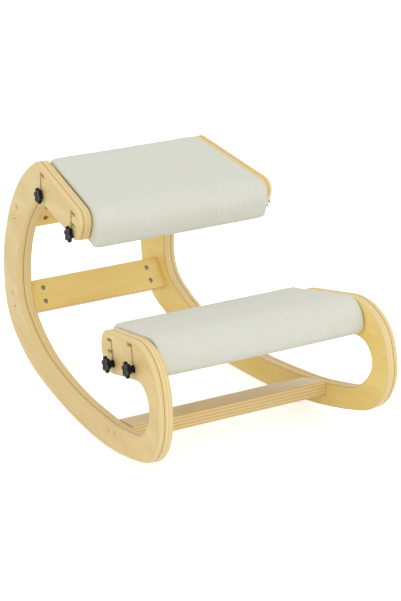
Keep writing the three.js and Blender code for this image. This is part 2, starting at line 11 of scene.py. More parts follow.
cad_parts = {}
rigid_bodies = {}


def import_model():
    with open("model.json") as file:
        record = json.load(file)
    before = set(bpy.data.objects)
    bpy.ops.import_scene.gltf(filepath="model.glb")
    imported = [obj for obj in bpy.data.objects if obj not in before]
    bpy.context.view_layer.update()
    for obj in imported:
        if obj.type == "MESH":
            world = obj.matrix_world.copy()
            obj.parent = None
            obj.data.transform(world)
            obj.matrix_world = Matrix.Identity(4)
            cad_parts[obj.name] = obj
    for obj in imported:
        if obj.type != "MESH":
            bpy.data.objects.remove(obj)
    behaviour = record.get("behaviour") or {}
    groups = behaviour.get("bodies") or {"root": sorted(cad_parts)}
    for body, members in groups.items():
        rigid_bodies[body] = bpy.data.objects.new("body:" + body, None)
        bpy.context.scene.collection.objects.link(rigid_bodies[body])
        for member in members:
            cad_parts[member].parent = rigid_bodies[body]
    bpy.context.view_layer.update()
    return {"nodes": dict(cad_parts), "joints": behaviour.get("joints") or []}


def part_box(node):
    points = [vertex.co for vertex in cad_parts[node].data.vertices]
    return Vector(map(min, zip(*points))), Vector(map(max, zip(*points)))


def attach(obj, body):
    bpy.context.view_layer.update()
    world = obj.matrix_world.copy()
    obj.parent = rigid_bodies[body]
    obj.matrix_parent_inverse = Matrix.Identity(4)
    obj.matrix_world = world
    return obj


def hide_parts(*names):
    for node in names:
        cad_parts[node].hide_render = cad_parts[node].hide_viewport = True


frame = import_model()

bl_info = {
    "name": "Kneeling chair",
    "version": (1, 0, 0),
    "blender": (4, 5, 0),
    "location": "3D View > Sidebar > Kneeling chair",
    "description": "Makes the frame, pads, knobs and fittings of a rocking kneeling chair",
    "category": "Object",
}

MM = 0.001
SIDES = {"right": -1, "left": 1}
PADS = ("seat", "knee")

# Angles in degrees: of each side frame from the chair's own direction, of each rail's wide face
# and of the arms that hold each pad
SPLAY = 7.06
RAIL_LEANS = {"upper_rear_rail": 72.15, "lower_rear_rail": 124.05, "foot_plank": 13.65}
ARM_SLOPES = {"seat": -8.45, "knee": 14.0}

# The viewpoint of the photograph: place in metres, and the picture's right and up directions
CAMERA_PLACE = (3.56463, -2.391, 2.03002)
CAMERA_RIGHT = (0.5461365, 0.8358835, 0.0550782)
CAMERA_UP = (-0.3552019, 0.1715268, 0.9189179)
CAMERA_LENS = 142.17

# Place and width in metres of each light; all of them point at the middle of the chair
LIGHTS = {
    "key": ((2.2, -1.4, 2.6), 2.6),
    "side": ((1.0, -3.2, 0.6), 2.0),
    "low": ((2.4, 2.2, 1.2), 2.0),
}
LIGHT_AIM = (0, 0, 0.25)
FLOOR_HALF_WIDTH = 9
FLOOR_GLOW = 0.55

# Share of the plies' pattern that an edge loses to even colour
LAYER_EVENNESS = 0.55
RAIL_EVENNESS = 0.2

# Corners closer than the first are one, and faces that turn by less than the second, in radians,
# are flat; edges that turn by more than the third, in radians, are corners to round off
MERGE_DISTANCE = 0.002 * MM
FLAT = math.radians(0.2)
CORNER = 1.3

BOLT_HEAD_RADIUS = 7.3 * MM
BOLT_HEAD_HEIGHT = 2.8 * MM
BOLT_SOCKET_RADIUS = 2.9 * MM
BOLT_SOCKET_DEPTH = 1.2 * MM
BOLT_SHANK_RADIUS = 3 * MM
BOLT_TIP_GAP = 0.2 * MM
NUT_SUNK = {"upper_rear_rail": 4 * MM, "lower_rear_rail": 2.2 * MM, "foot_plank": 2.2 * MM}
NUT_SLOT_HALF_WIDTH = 0.7 * MM
NUT_SLOT_DEPTH = 1.4 * MM
STEEL_ROUNDING = 0.5 * MM

WASHER_RADIUS = 8 * MM
WASHER_BORE = 3.3 * MM
WASHER_ROUNDING = 0.25 * MM

KNOB_LOBES = 6
KNOB_LOBE_SHARPNESS = 1.4
KNOB_ROUNDING = 1.8 * MM
KNOB_CAP_RIM = 2.2 * MM
KNOB_DISH_SLOPE = 1.0 * MM
KNOB_DISH_DEPTH = 0.7 * MM
BOSS_FLARE = 1.12
BOSS_GAP = 0.3 * MM
STUD_COVERED = 0.5 * MM
THREAD_DEPTH = 0.61
THREAD_STEPS = 12

# How far the end boards are grown into the foam, and how thick the foam's moving skin is
BOARD_GROWTH = 1 * MM
SKIN_DEPTH = 4 * MM
# The cover starts to swell at this height over the pad's underside, and does fully so much higher
SWELL_START = 12 * MM
SWELL_RISE = 30 * MM
SWELL_SMOOTHINGS = 10
CLOTH_STEPS = 20
CLOTH_SMOOTHINGS = 3
# Strength and number per metre of the two sizes of ripple in a cover
RIPPLES = ((1.0, 16), (0.4, 40))
# The end of a cover over which it is drawn out towards the side frame
END_BAND = 30 * MM
# The strip and the step, in radians, in which a cover's outline is measured for its threads
SECTION_HALF_WIDTH = 4 * MM
SECTION_CORE = 30 * MM
SECTION_STEP = 0.02


def linear(hex_colour):
    """The linear red, green and blue of an sRGB colour written as RRGGBB."""
    channels = [int(hex_colour[i : i + 2], 16) / 255 for i in (0, 2, 4)]
    return tuple(c / 12.92 if c <= 0.04045 else ((c + 0.055) / 1.055) ** 2.4 for c in channels)


def opaque(colour):
    return (*colour[:3], 1.0)


def scaled(colour, factor):
    return tuple(factor * channel for channel in colour)


def colour_property(name, description, hex_colour):
    return bpy.props.FloatVectorProperty(
        name=name, description=description, default=linear(hex_colour), subtype="COLOR", size=3,
        min=0, max=1,
    )


def length_property(name, description, millimetres):
    return bpy.props.FloatProperty(
        name=name, description=description, default=millimetres * MM, subtype="DISTANCE",
        unit="LENGTH", min=0,
    )


def power_property(name, description, watts):
    return bpy.props.FloatProperty(
        name=name, description=description, default=watts, subtype="POWER", unit="POWER", min=0
    )


class WoodSettings(bpy.types.PropertyGroup):
    """Colours and sizes of the birch plywood."""

    face_light: colour_property("Veneer, light", "Pale parts of the face veneer", "E2C98C")
    face_dark: colour_property("Veneer, dark", "Growth rings of the face veneer", "DBBD7A")
    # The inner veneer is brighter and yellower than the face veneer as painted light: it stands in
    # for light bouncing between the side frames.
    inner_light_painted_bright: colour_property(
        "Inner veneer, light", "Pale parts of the yellower veneer inside", "F6DD8D"
    )
    inner_dark_painted_bright: colour_property(
        "Inner veneer, dark", "Growth rings of the veneer inside", "F0D17C"
    )
    plank_light: colour_property(
        "Plank veneer, light", "Pale parts of the greyer veneer of the plank", "EBDAAC"
    )
    plank_dark: colour_property(
        "Plank veneer, dark", "Growth rings of the veneer of the plank", "E0CC9A"
    )
    edge_light: colour_property(
        "Ply, long grain", "Plies seen along their grain at an edge", "F0DAA0"
    )
    edge_dark: colour_property("Ply, end grain", "Plies seen at their end grain", "E1C07C")
    glue: colour_property("Glue line", "Thin lines between the plies", "A87438")
    ply: length_property("Ply thickness", "Thickness of one ply at an edge", 3.2)
    seam_ease: length_property("Seam easing", "Chamfer of the two layers where they meet", 0.45)
    # The seam colour is partly glue and partly painted shade of the groove between the two layers.
    seam: colour_property(
        "Seam", "Dried glue and dust in the groove between the two layers", "B0804A"
    )


class CoverSettings(bpy.types.PropertyGroup):
    """The woven cover and the foam under it."""

    light: colour_property("Yarn, light", "Pale yarn of the cover", "E1E2D7")
    # The dark yarn colour is partly greyer yarn and partly painted shade in the hollows of the
    # weave.
    dark: colour_property("Yarn, dark", "Greyer yarn and the hollows of the weave", "D5D5C8")
    thread: length_property("Thread spacing", "Distance from one thread to the next", 1.4)
    voxel: length_property(
        "Cloth grid", "Size of the faces that the cover is simulated with", 4.5
    )
    swell: length_property("Swell", "Furthest that the foam pushes the cover out", 1.8)
    seat_sag: length_property("Seat sag", "How far the seat's foam and cover have settled", 2.6)
    knee_sag: length_property("Knee sag", "How far the knee pad's foam and cover have settled", 3.8)
    wrinkle: length_property("Wrinkles", "Height of the cover's soft unevenness", 0.3)
    end_gap: length_property("End gap", "Gap at the side frames with the pad at its highest", 0.3)
    end_draw: length_property("End draw", "How far the cover is drawn out over its end edges", 5)
    fill: bpy.props.FloatProperty(
        name="Fill", description="How tightly the cover is filled", default=0.85, min=0, max=1,
        subtype="FACTOR",
    )


class FittingSettings(bpy.types.PropertyGroup):
    """Knobs, studs, washers, bolts and barrel nuts."""

    knob_colour: colour_property("Knob", "Moulded black plastic", "0D0E10")
    bolt_colour: colour_property("Bolt head", "Yellow passivated steel", "D8C08C")
    zinc_colour: colour_property("Zinc", "Bright zinc plating of studs and nuts", "BEC1C4")
    # Also used on the upper rail's nuts, as painted shade of their deep holes.
    black_colour: colour_property("Washer", "Blackened steel", "101113")
    knob_radius: length_property("Knob radius", "From the middle to the tip of a lobe", 16)
    lobe_depth: length_property("Lobe depth", "How far the hollows between the lobes go in", 4.5)
    knob_height: length_property("Knob head", "Height of the knob's lobed head", 7)
    boss_radius: length_property("Boss radius", "Radius of the neck under the lobed head", 6.5)
    stud_radius: length_property("Stud radius", "Outer radius of the stud's thread", 3)
    pitch: length_property("Thread pitch", "Rise of the stud's thread in one turn", 1)
    nut_radius: length_property("Nut radius", "Radius of a barrel nut", 5)


class StageSettings(bpy.types.PropertyGroup):
    """Floor and lights."""

    floor_colour: colour_property("Floor", "Plain pale floor", "F4F4F2")
    key_power: power_property("Key light", "Power of the large soft light", 10)
    side_power: power_property("Side light", "Power of the light on the near side", 7)
    low_power: power_property("Low light", "Power of the low light at the front left", 10)
    sky: bpy.props.FloatProperty(
        name="Sky", description="Level of the even light from all around", default=0.88, min=0,
        subtype="FACTOR",
    )


def add_node(tree, kind, inputs=None, **settings):
    """Adds a node, sets its options, and sets or links its inputs."""
    node = tree.nodes.new(kind)
    for key, value in settings.items():
        setattr(node, key, value)
    for key, value in (inputs or {}).items():
        if isinstance(value, bpy.types.NodeSocket):
            tree.links.new(value, node.inputs[key])
        else:
            node.inputs[key].default_value = value
    return node


def calculated(tree, operation, *values):
    """The result of a sum on numbers and sockets."""
    return add_node(
        tree, "ShaderNodeMath", dict(enumerate(values)), operation=operation
    ).outputs[0]


def split(tree, vector):
    """The three parts of a vector."""
    return add_node(tree, "ShaderNodeSeparateXYZ", {"Vector": vector}).outputs


def stretched(tree, vector, scale):
    mapping = add_node(tree, "ShaderNodeMapping", {"Vector": vector, "Scale": scale})
    return mapping.outputs["Vector"]


def cloud(tree, vector, scale, detail, roughness=0.5, distortion=0.0):
    """Cloudy noise from 0 to 1."""
    return add_node(
        tree, "ShaderNodeTexNoise",
        {
            "Vector": vector, "Scale": scale, "Detail": detail, "Roughness": roughness,
            "Distortion": distortion,
        },
    ).outputs["Fac"]


def remapped(tree, value, source=(0.0, 1.0), target=(0.0, 1.0), interpolation="LINEAR"):
    """A value moved from one range to another."""
    return add_node(
        tree, "ShaderNodeMapRange",
        {
            "Value": value, "From Min": source[0], "From Max": source[1], "To Min": target[0],
            "To Max": target[1],
        },
        interpolation_type=interpolation,
    ).outputs[0]


def ramp(tree, share, stops):
    """A colour from a ramp, whose stops are given as (position, colour)."""
    node = add_node(tree, "ShaderNodeValToRGB", {"Fac": share})
    elements = node.color_ramp.elements
    while len(elements) < len(stops):
        elements.new(1.0)
    for element, (position, colour) in zip(elements, stops):
        element.position = position
        element.color = opaque(colour)
    return node.outputs["Color"]


def mixed(tree, share, first, second, blend="MIX"):
    """Two colours mixed, or the second multiplied onto the first."""
    return add_node(
        tree, "ShaderNodeMix", {0: share, 6: first, 7: second}, data_type="RGBA", blend_type=blend
    ).outputs[2]


def relief(tree, strength, depth, height):
    """The normal of a surface with fine relief."""
    bump = add_node(
        tree, "ShaderNodeBump", {"Strength": strength, "Distance": depth, "Height": height}
    )
    return bump.outputs["Normal"]


def new_material(name):
    """A new material and its empty node tree."""
    material = bpy.data.materials.new(name)
    material.use_nodes = True
    material.node_tree.nodes.clear()
    return material, material.node_tree


def own_place(tree):
    """Places on a piece in its own coordinates, in metres."""
    return add_node(tree, "ShaderNodeTexCoord").outputs["Object"]


def finish_material(tree, inputs):
    shader = add_node(tree, "ShaderNodeBsdfPrincipled", inputs)
    add_node(tree, "ShaderNodeOutputMaterial", {"Surface": shader.outputs["BSDF"]})


def birch_plywood(name, grain, through, face, veneers, evenness):
    """Birch plywood under clear satin lacquer: calm pale faces with faint growth rings and short
    flecks, and edges that show light and dark plies between thin brown glue lines. Real plies are
    1.4 mm thick; they are drawn thicker, so that a few of them show as lines in the picture."""
    wood = bpy.context.scene.chair_wood
    material, tree = new_material(name)
    coords = add_node(tree, "ShaderNodeTexCoord")
    grain = grain.normalized()
    through = through.normalized()
    turn = Matrix((grain, through.cross(grain).normalized(), through)).to_euler()
    spot = add_node(
        tree, "ShaderNodeMapping",
        {
            "Vector": coords.outputs["Object"], "Rotation": turn,
            "Location": (0, 0, -through.dot(face)),
        },
    ).outputs["Vector"]
    normal = add_node(
        tree, "ShaderNodeMapping", {"Vector": coords.outputs["Normal"], "Rotation": turn},
        vector_type="VECTOR",
    ).outputs["Vector"]
    flat = calculated(tree, "ABSOLUTE", split(tree, normal)["Z"])
    on_face = remapped(tree, flat, (0.9, 0.985), interpolation="SMOOTHSTEP")

    # Faces: rings 200 mm long and 40 mm apart, and flecks 30 mm long and 1.6 mm wide
    rings = cloud(tree, stretched(tree, spot, (5, 24, 24)), 1.0, 4.0, distortion=0.4)
    flecks = cloud(tree, stretched(tree, spot, (33, 620, 620)), 1.0, 2.0)
    veneer = ramp(tree, rings, [(0.35, veneers[0]), (0.62, veneers[1])])
    fleck_share = remapped(tree, flecks, (0.54, 0.74), (0.0, 0.28))
    fleck_colour = (0.78, 0.66, 0.47, 1.0)
    face_colour = mixed(tree, fleck_share, veneer, fleck_colour, "MULTIPLY")

    # Edges: one period is a light and a dark ply with a glue line between them
    waver = calculated(tree, "MULTIPLY", rings, 0.25)
    depth = split(tree, spot)["Z"]
    plies = calculated(tree, "MULTIPLY_ADD", depth, 1 / (2 * wood.ply), waver)
    layers = ramp(
        tree,
        calculated(tree, "FRACT", plies),
        [
            (0.0, wood.glue), (0.09, wood.edge_light), (0.42, wood.edge_light), (0.5, wood.glue),
            (0.59, wood.edge_dark), (0.92, wood.edge_dark), (1.0, wood.glue),
        ],
    )
    edge_colour = mixed(tree, evenness, layers, opaque(wood.edge_light))
    finish_material(
        tree,
        {
            "Base Color": mixed(tree, on_face, edge_colour, face_colour),
            "Roughness": remapped(tree, rings, target=(0.46, 0.34)),
            "Normal": relief(tree, 0.25, 0.2 * MM, flecks),
            "IOR": 1.5,
            "Specular IOR Level": 0.4,
        },
    )
    return material


def board_ply():
    """Raw sanded board under the pads: dull, a little darker than the frame, with open grain."""
    material, tree = new_material("sanded_board")
    # Grain 110 mm long and 6 mm wide, across the chair
    place = stretched(tree, own_place(tree), (180, 9, 180))
    grain = cloud(tree, place, 1.0, 4.0, distortion=0.4)
    finish_material(
        tree,
        {
            "Base Color": ramp(tree, grain, [(0.3, linear("B0905F")), (0.7, linear("D2B583"))]),
            "Roughness": 0.75,
            "Normal": relief(tree, 0.4, 0.3 * MM, grain),
        },
    )
    return material


def seam_glue_and_shade():
    """Dried glue along the seam, its dark brown partly painted shade of the groove: a dull line,
    uneven along its length.
    """
    material, tree = new_material("dried_wood_glue")
    specks = cloud(tree, own_place(tree), 240.0, 3.0)
    base = bpy.context.scene.chair_wood.seam
    finish_material(
        tree,
        {
            "Base Color": ramp(tree, specks, [(0.3, scaled(base, 0.6)), (0.75, base)]),
            "Roughness": 0.7,
            "Specular IOR Level": 0.2,
        },
    )
    return material


def woven_linen():
    """Linen and polyester cloth in plain weave: matt, off-white with a grey-green cast, and slubs
    that run along single threads. Real threads lie 0.8 mm apart; they are drawn nearly twice as
    wide. The threads follow the cover's own layout."""
    cover = bpy.context.scene.chair_cover
    material, tree = new_material("woven_linen")
    flat = add_node(tree, "ShaderNodeUVMap", uv_map="cloth").outputs["UV"]
    parts = split(tree, flat)
    waves = [
        calculated(
            tree, "SINE", calculated(tree, "MULTIPLY", parts[axis], math.pi / cover.thread)
        )
        for axis in ("X", "Y")
    ]
    weave = calculated(tree, "MULTIPLY", *waves)
    # Slubs are about a thread wide and 40 mm long, and run both ways
    across = 0.9 / cover.thread
    slubs = [
        cloud(tree, stretched(tree, flat, scale), 1.0, 3.0, 0.6)
        for scale in ((25, across, 1), (across, 25, 1))
    ]
    both = calculated(tree, "ADD", *slubs)
    # The weave darkens the colour in its hollows as painted shade, besides giving the bump; the
    # slubs are greyer yarn.
    height = calculated(tree, "MULTIPLY_ADD", weave, 0.16, both)
    tone = remapped(tree, height, (0.72, 1.28))
    finish_material(
        tree,
        {
            "Base Color": ramp(tree, tone, [(0.0, cover.dark), (1.0, cover.light)]),
            "Roughness": 0.92,
            "Normal": relief(tree, 0.25, 0.3 * MM, height),
            "Specular IOR Level": 0.2,
            "Sheen Weight": 0.12,
            "Sheen Roughness": 0.5,
        },
    )
    return material


def moulded_plastic():
    """Glass-filled nylon from a spark-eroded mould: near black, half matt, with a fine grain."""
    material, tree = new_material("moulded_nylon")
    grit = cloud(tree, own_place(tree), 1600.0, 2.0)
    base = bpy.context.scene.chair_fittings.knob_colour
    finish_material(
        tree,
        {
            "Base Color": ramp(tree, grit, [(0.3, base), (0.8, scaled(base, 1.7))]),
            "Roughness": remapped(tree, grit, target=(0.36, 0.52)),
            "Normal": relief(tree, 0.3, 0.1 * MM, grit),
            "Specular IOR Level": 0.22,
        },
    )
    return material


def plated_steel(name, colour, dull):
    """Plated steel: turned marks blur its reflections a little, and the plating's tint varies."""
    material, tree = new_material(name)
    marks = cloud(tree, own_place(tree), 900.0, 3.0)
    finish_material(
        tree,
        {
            "Base Color": ramp(tree, marks, [(0.3, scaled(colour, 0.82)), (0.7, colour)]),
            "Roughness": remapped(tree, marks, target=(dull - 0.08, dull + 0.08)),
            "Metallic": 1.0,
        },
    )
    return material


def merged_copy(node):
    """A node's faces with their corners joined and flat areas made whole."""
    bm = bmesh.new()
    bm.from_mesh(frame["nodes"][node].data)
    bmesh.ops.remove_doubles(bm, verts=bm.verts, dist=MERGE_DISTANCE)
    bmesh.ops.dissolve_limit(bm, angle_limit=FLAT, verts=bm.verts, edges=bm.edges)
    return bm


def verts_of(geometry):
    return [part for part in geometry if isinstance(part, bmesh.types.BMVert)]


def edges_within(verts):
    """The edges whose two ends are both among some vertices."""
    return list({e for v in verts for e in v.link_edges if all(w in verts for w in e.verts)})


def corner_edges(bm):
    """The edges at which a shape turns sharply."""
    return [e for e in bm.edges if len(e.link_faces) == 2 and e.calc_face_angle(0) > CORNER]


def round_edges(bm, edges, radius, segments, limited=False):
    """Rounds edges off, and gives back the new faces."""
    return bmesh.ops.bevel(
        bm, geom=edges, offset=radius, offset_type="OFFSET", affect="EDGES", segments=segments,
        profile=0.5, material=-1, clamp_overlap=limited,
    )["faces"]


def lower(bm, verts, distance):
    bmesh.ops.translate(bm, vec=(0, 0, -distance), verts=verts)


def add_rod(bm, segments, radius, start, end, end_radius=None):
    """A closed rod along Z from one height to a higher one."""
    verts = bmesh.ops.create_cone(
        bm, cap_ends=True, segments=segments, radius1=radius, radius2=end_radius or radius,
        depth=end - start,
    )["verts"]
    lower(bm, verts, -(start + end) / 2)


def make_piece(name, bm, materials, body, stands_for, sharp_angle):
    """Turns a bmesh into a smooth-shaded piece that rides on a body and stands for CAD nodes."""
    for face in bm.faces:
        face.smooth = True
    for edge in bm.edges:
        angle = edge.calc_face_angle(0) if len(edge.link_faces) == 2 else math.pi
        edge.smooth = angle < math.radians(sharp_angle)
    mesh = bpy.data.meshes.new(name)
    bm.to_mesh(mesh)
    bm.free()
    if "custom_normal" in mesh.attributes:
        mesh.attributes.remove(mesh.attributes["custom_normal"])
    for material in materials:
        mesh.materials.append(material)
    piece = bpy.data.objects.new(name, mesh)
    bpy.context.scene.collection.objects.link(piece)
    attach(piece, body)
    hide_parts(*stands_for)
    return piece


def even_normals(piece):
    """Lets large flat faces keep their own shading next to small rounded ones."""
    modifier = piece.modifiers.new("even_normals", "WEIGHTED_NORMAL")
    modifier.weight = 100
    modifier.keep_sharp = True


def outward(side):
    """The direction straight out of a side frame."""
    angle = math.radians(SPLAY)
    return Vector((-math.sin(angle), SIDES[side] * math.cos(angle), 0))


def rail_normal(rail):
    """The direction of a rail's upper or front wide face."""
    angle = math.radians(RAIL_LEANS[rail])
    return Vector((math.sin(angle), 0, -math.cos(angle)))


def pad_directions(pad):
    """The directions ahead and up along a pad's sloping arms."""
    slope = math.radians(ARM_SLOPES[pad])
    return (
        Vector((math.cos(slope), 0, math.sin(slope))),
        Vector((-math.sin(slope), 0, math.cos(slope))),
    )


def reach(node, direction):
    """The furthest that a node goes in a direction."""
    return max(direction.dot(vertex.co) for vertex in frame["nodes"][node].data.vertices)


def extent(node, direction):
    """The length of a node in a direction."""
    return reach(node, direction) + reach(node, -direction)


def end_centre(node, direction):
    """The middle of a node's outermost face in a direction."""
    nearest = reach(node, direction) - 0.05 * MM
    places = [vertex.co for vertex in frame["nodes"][node].data.vertices]
    spots = [place for place in places if direction.dot(place) > nearest]
    low = Vector(min(s[i] for s in spots) for i in range(3))
    high = Vector(max(s[i] for s in spots) for i in range(3))
    return (low + high) / 2


def stand_on(bm, place, axis):
    """Moves a shape drawn along +Z to a place, with +Z turned to an axis."""
    turn = axis.to_track_quat("Z", "Y").to_matrix().to_4x4()
    bmesh.ops.transform(bm, matrix=Matrix.Translation(place) @ turn, verts=bm.verts)


def clamps():
    """The name that each knob and washer starts with, its joint, place and axis."""
    for joint in frame["joints"]:
        if joint["name"].endswith("_turn"):
            stem = joint["name"].removesuffix("_turn")
            yield stem, joint, Vector(joint["pos_m"]), Vector(joint["axis"]).normalized()


class CHAIR_OT_side_layers(bpy.types.Operator):
    """Make the two plywood layers of each side frame, with eased edges along their seam"""

    bl_idname = "kneeling_chair.side_layers"
    bl_label = "Side frame layers"

    def execute(self, context):
        wood = context.scene.chair_wood
        glue = seam_glue_and_shade()
        veneers = {
            "outer": (wood.face_dark, wood.face_light),
            # The inner layers face each other across the chair; their brighter veneer is painted
            # bounce light.
            "inner": (wood.inner_dark_painted_bright, wood.inner_light_painted_bright),
        }
        for side in SIDES:
            out = outward(side)
            grain = Vector((0, 0, 1)).cross(out)
            for layer, way in (("outer", -1), ("inner", 1)):
                node = f"{side}_{layer}_layer"
                bm = merged_copy(node)
                rim = self.seam_rim(bm, way * out)
                # The eased edges at the seam take the seam colour: glue, and painted shade of the
                # groove.
                for face in round_edges(bm, rim, wood.seam_ease, 2, limited=True):
                    face.material_index = 1
                surface = reach(node, out) * out
                material = birch_plywood(
                    f"birch_plywood_{side}_{layer}", grain, out, surface, veneers[layer],
                    LAYER_EVENNESS,
                )
                piece = make_piece(
                    f"{side}_{layer}_ply", bm, [material, glue], "frame",
                    [node], sharp_angle=50,
                )
                even_normals(piece)
        return {"FINISHED"}

    def seam_rim(self, bm, way):
        """The long loop of edges round a layer's face at the seam."""
        found = {
            edge
            for edge in corner_edges(bm)
            if max(face.normal.dot(way) for face in edge.link_faces) > 0.999
        }
        loops = []
        while found:
            loop = {found.pop()}
            ends = [v for edge in loop for v in edge.verts]
            while ends:
                for edge in ends.pop().link_edges:
                    if edge in found:
                        found.remove(edge)
                        loop.add(edge)
                        ends.extend(edge.verts)
            loops.append(loop)
        return list(max(loops, key=lambda loop: sum(edge.calc_length() for edge in loop)))


class CHAIR_OT_rails(bpy.types.Operator):
    """Make the two rear rails and the foot plank"""

    bl_idname = "kneeling_chair.rails"
    bl_label = "Rails and foot plank"

    def execute(self, context):
        wood = context.scene.chair_wood
        grain = Vector((0, 1, 0))
        for rail in RAIL_LEANS:
            normal = rail_normal(rail)
            surface = reach(rail, normal) * normal
            # The rear rails take the inner veneer, with its painted bounce light.
            veneers = (wood.inner_dark_painted_bright, wood.inner_light_painted_bright)
            if rail == "foot_plank":
                veneers = (wood.plank_dark, wood.plank_light)
            material = birch_plywood(
                f"birch_plywood_{rail}", grain, normal, surface, veneers, RAIL_EVENNESS
            )
            piece = make_piece(
                f"{rail}_ply", merged_copy(rail), [material], "frame", [rail],
                sharp_angle=45,
            )
            even_normals(piece)
        return {"FINISHED"}


class CHAIR_OT_bolts(bpy.types.Operator):
    """Make the flat heads and shanks of the connector bolts"""

    bl_idname = "kneeling_chair.bolts"
    bl_label = "Connector bolts"

    def execute(self, context):
        colour = context.scene.chair_fittings.bolt_colour
        steel = plated_steel("yellow_zinc_steel", colour, 0.42)
        for node in sorted(frame["nodes"]):
            if not node.endswith("_bolt"):
                continue
            out = outward("right" if "_right_" in node else "left")
            bm = bmesh.new()
            self.head(bm)
            tip = BOLT_TIP_GAP - extent(node, out)
            add_rod(bm, 20, BOLT_SHANK_RADIUS, tip, -BOLT_HEAD_HEIGHT)
            bmesh.ops.recalc_face_normals(bm, faces=bm.faces)
            stand_on(bm, end_centre(node, out), out)
            make_piece(
                f"{node}_steel", bm, [steel], "frame", [node], sharp_angle=35
            )
        return {"FINISHED"}

    def head(self, bm):
        """A flat round head with a hexagonal socket."""
        rim = bmesh.ops.create_circle(bm, segments=32, radius=BOLT_HEAD_RADIUS)["verts"]
        socket = bmesh.ops.create_circle(bm, segments=6, radius=BOLT_SOCKET_RADIUS)["verts"]
        bmesh.ops.bridge_loops(bm, edges=list({e for v in rim + socket for e in v.link_edges}))
        rim_edges = edges_within(rim)
        for edges, depth in (
            (edges_within(socket), BOLT_SOCKET_DEPTH), (rim_edges, BOLT_HEAD_HEIGHT)
        ):
            wall = verts_of(bmesh.ops.extrude_edge_only(bm, edges=edges)["geom"])
            lower(bm, wall, depth)
            bmesh.ops.contextual_create(bm, geom=wall)
        round_edges(bm, rim_edges, STEEL_ROUNDING, 3)


class CHAIR_OT_nuts(bpy.types.Operator):
    """Make the barrel nuts with a driver slot in the end that shows"""

    bl_idname = "kneeling_chair.nuts"
    bl_label = "Barrel nuts"

    def execute(self, context):
        fittings = context.scene.chair_fittings
        bright = plated_steel("bright_zinc_steel", fittings.zinc_colour, 0.32)
        dark = plated_steel("black_oxide_steel", fittings.black_colour, 0.5)
        for node in sorted(frame["nodes"]):
            if not node.endswith("_nut"):
                continue
            rail = node.rsplit("_", 3)[0]
            shown = rail_normal(rail)
            bm = bmesh.new()
            add_rod(bm, 32, fittings.nut_radius, -extent(node, shown), -NUT_SUNK[rail])
            round_edges(bm, corner_edges(bm), STEEL_ROUNDING, 2)
            self.cut_slot(bm)
            stand_on(bm, end_centre(node, shown), shown)
            # The upper rail's nuts are blackened as painted shade of their deep holes; the other
            # nuts are bright zinc.
            steel = dark if rail == "upper_rear_rail" else bright
            make_piece(
                f"{node}_steel", bm, [steel], "frame", [node], sharp_angle=30
            )
        return {"FINISHED"}

    def cut_slot(self, bm):
        """Sinks a strip across the top into a driver slot."""
        for x in (-NUT_SLOT_HALF_WIDTH, NUT_SLOT_HALF_WIDTH):
            parts = bm.verts[:] + bm.edges[:] + bm.faces[:]
            bmesh.ops.bisect_plane(bm, geom=parts, plane_co=(x, 0, 0), plane_no=(1, 0, 0))
        strip = [
            f for f in bm.faces
            if f.normal.z > 0.99 and abs(f.calc_center_median().x) < NUT_SLOT_HALF_WIDTH
        ]
        cut = verts_of(bmesh.ops.extrude_face_region(bm, geom=strip)["geom"])
        bmesh.ops.delete(bm, geom=strip, context="FACES_ONLY")
        lower(bm, cut, NUT_SLOT_DEPTH)


class CHAIR_OT_boards(bpy.types.Operator):
    """Finish the boards under the pads, which are shown as they are"""

    bl_idname = "kneeling_chair.boards"
    bl_label = "Base boards"

    def execute(self, context):
        board = board_ply()
        for pad in PADS:
            mesh = frame["nodes"][f"{pad}_base_board"].data
            mesh.materials.clear()
            mesh.materials.append(board)
        return {"FINISHED"}


